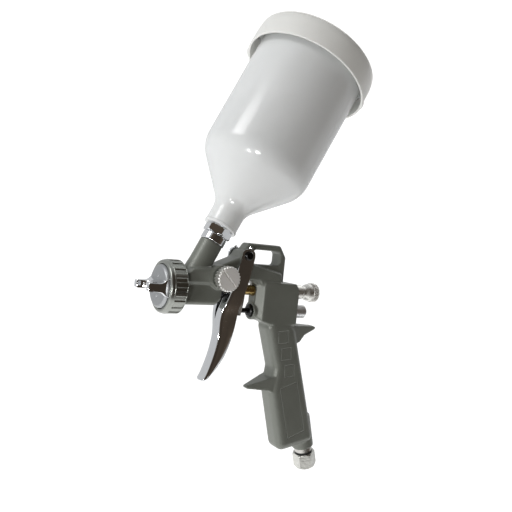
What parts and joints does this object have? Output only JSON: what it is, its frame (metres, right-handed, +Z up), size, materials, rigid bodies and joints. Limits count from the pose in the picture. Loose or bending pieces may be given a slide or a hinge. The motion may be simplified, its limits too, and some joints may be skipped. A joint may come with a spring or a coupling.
{
  "type": "gravity-feed spray gun",
  "caption": "Gravity-feed air spray gun: grey-green die-cast body, leaning white nylon paint cup with push-on lid, chrome trigger and two-horn air cap.",
  "frame": {"origin": "centre of the mouth of the threaded air inlet at the foot of the grip", "axes": "+X is the spray direction, +Z is up with the spray axis level, +Y is the left-hand side of the gun"},
  "size_m": [0.1784, 0.1052, 0.3688],
  "materials": {
    "body_paint": "satin grey-green enamel over a die casting, fine orange peel",
    "satin_nickel": "satin nickel plate, turned",
    "bright_chrome": "bright chrome plate",
    "matt_nickel": "bead-blasted nickel plate",
    "steel": "turned stainless steel",
    "brass": "turned brass",
    "alloy": "turned and knurled aluminium",
    "zinc": "bright zinc plate, mottled",
    "nylon": "translucent white nylon, moulded",
    "lid_plastic": "soft white polyethylene, moulded",
    "ptfe": "white PTFE",
    "rubber": "black nitrile rubber"
  },
  "bodies": {
    "gun": {"gun_body": "body_paint", "fluid_nozzle": "steel", "head_gasket": "ptfe", "needle_packing": "ptfe", "needle_packing_nut": "steel", "needle_bush": "alloy", "trigger_pivot_pin": "steel", "trigger_pivot_screws": "steel", "air_valve_nut": "steel", "air_valve_packing": "ptfe", "air_valve_seat": "rubber", "air_valve_cap": "alloy", "fan_valve_gland": "satin_nickel", "fan_valve_seal": "rubber", "cup_fitting": "bright_chrome", "cup_gasket": "ptfe", "paint_cup": "nylon", "cup_strainer": "nylon", "inlet_nipple": "steel", "inlet_seal": "rubber"},
    "trigger": {"trigger": "bright_chrome", "trigger_push_plate": "steel"},
    "needle": {"fluid_needle": "steel", "needle_sleeve": "brass", "needle_spring": "steel"},
    "air_valve": {"air_valve_stem": "steel", "air_valve_spring": "steel"},
    "needle_knob": {"needle_knob": "alloy"},
    "fan_knob": {"fan_knob": "alloy", "fan_valve_stem": "brass"},
    "air_cap": {"air_cap": "bright_chrome"},
    "air_cap_ring": {"air_cap_ring": "satin_nickel"},
    "lid": {"cup_lid": "lid_plastic", "lid_vent_plug": "lid_plastic"},
    "inlet_nut": {"inlet_nut": "zinc"}
  },
  "joints": [
    {"name": "trigger_pull", "type": "hinge", "parent": "gun", "child": "trigger", "pos_m": [0.08674, 0, 0.17752], "axis": [0, 1, 0], "range_deg": [0, 10], "stiffness_Nm_per_rad": 0.8, "springref_deg": -17.19},
    {"name": "needle_slide", "type": "slide", "parent": "gun", "child": "needle", "axis": [-1, 0, 0], "range_m": [0, 0.0048]},
    {"name": "air_valve_slide", "type": "slide", "parent": "gun", "child": "air_valve", "axis": [-1, 0, 0], "range_m": [0, 0.0077]},
    {"name": "needle_knob_turn", "type": "hinge", "parent": "gun", "child": "needle_knob", "pos_m": [0.01814, 0, 0.15032], "axis": [1, 0, 0], "range_deg": [0, 1080]},
    {"name": "fan_knob_turn", "type": "hinge", "parent": "gun", "child": "fan_knob", "pos_m": [0.10994, 0.02, 0.15992], "axis": [0, 1, 0], "range_deg": [0, 540]},
    {"name": "air_cap_turn", "type": "hinge", "parent": "gun", "child": "air_cap", "pos_m": [0.15214, 0, 0.15032], "axis": [1, 0, 0], "range_deg": [-90, 90]},
    {"name": "air_cap_ring_turn", "type": "hinge", "parent": "gun", "child": "air_cap_ring", "pos_m": [0.14614, 0, 0.15032], "axis": [1, 0, 0], "range_deg": [0, 1080]},
    {"name": "lid_lift", "type": "slide", "parent": "gun", "child": "lid", "axis": [-0.4478, 0, 0.8942], "range_m": [0, 0.045]},
    {"name": "inlet_nut_turn", "type": "hinge", "parent": "gun", "child": "inlet_nut", "pos_m": [0, 0, 0], "axis": [-0.2756, 0, -0.9613], "continuous": true}
  ],
  "couplings": [
    {"joint": "needle_slide", "follows": "trigger_pull", "m_per_rad": 0.0272},
    {"joint": "air_valve_slide", "follows": "trigger_pull", "m_per_rad": 0.0435}
  ]
}
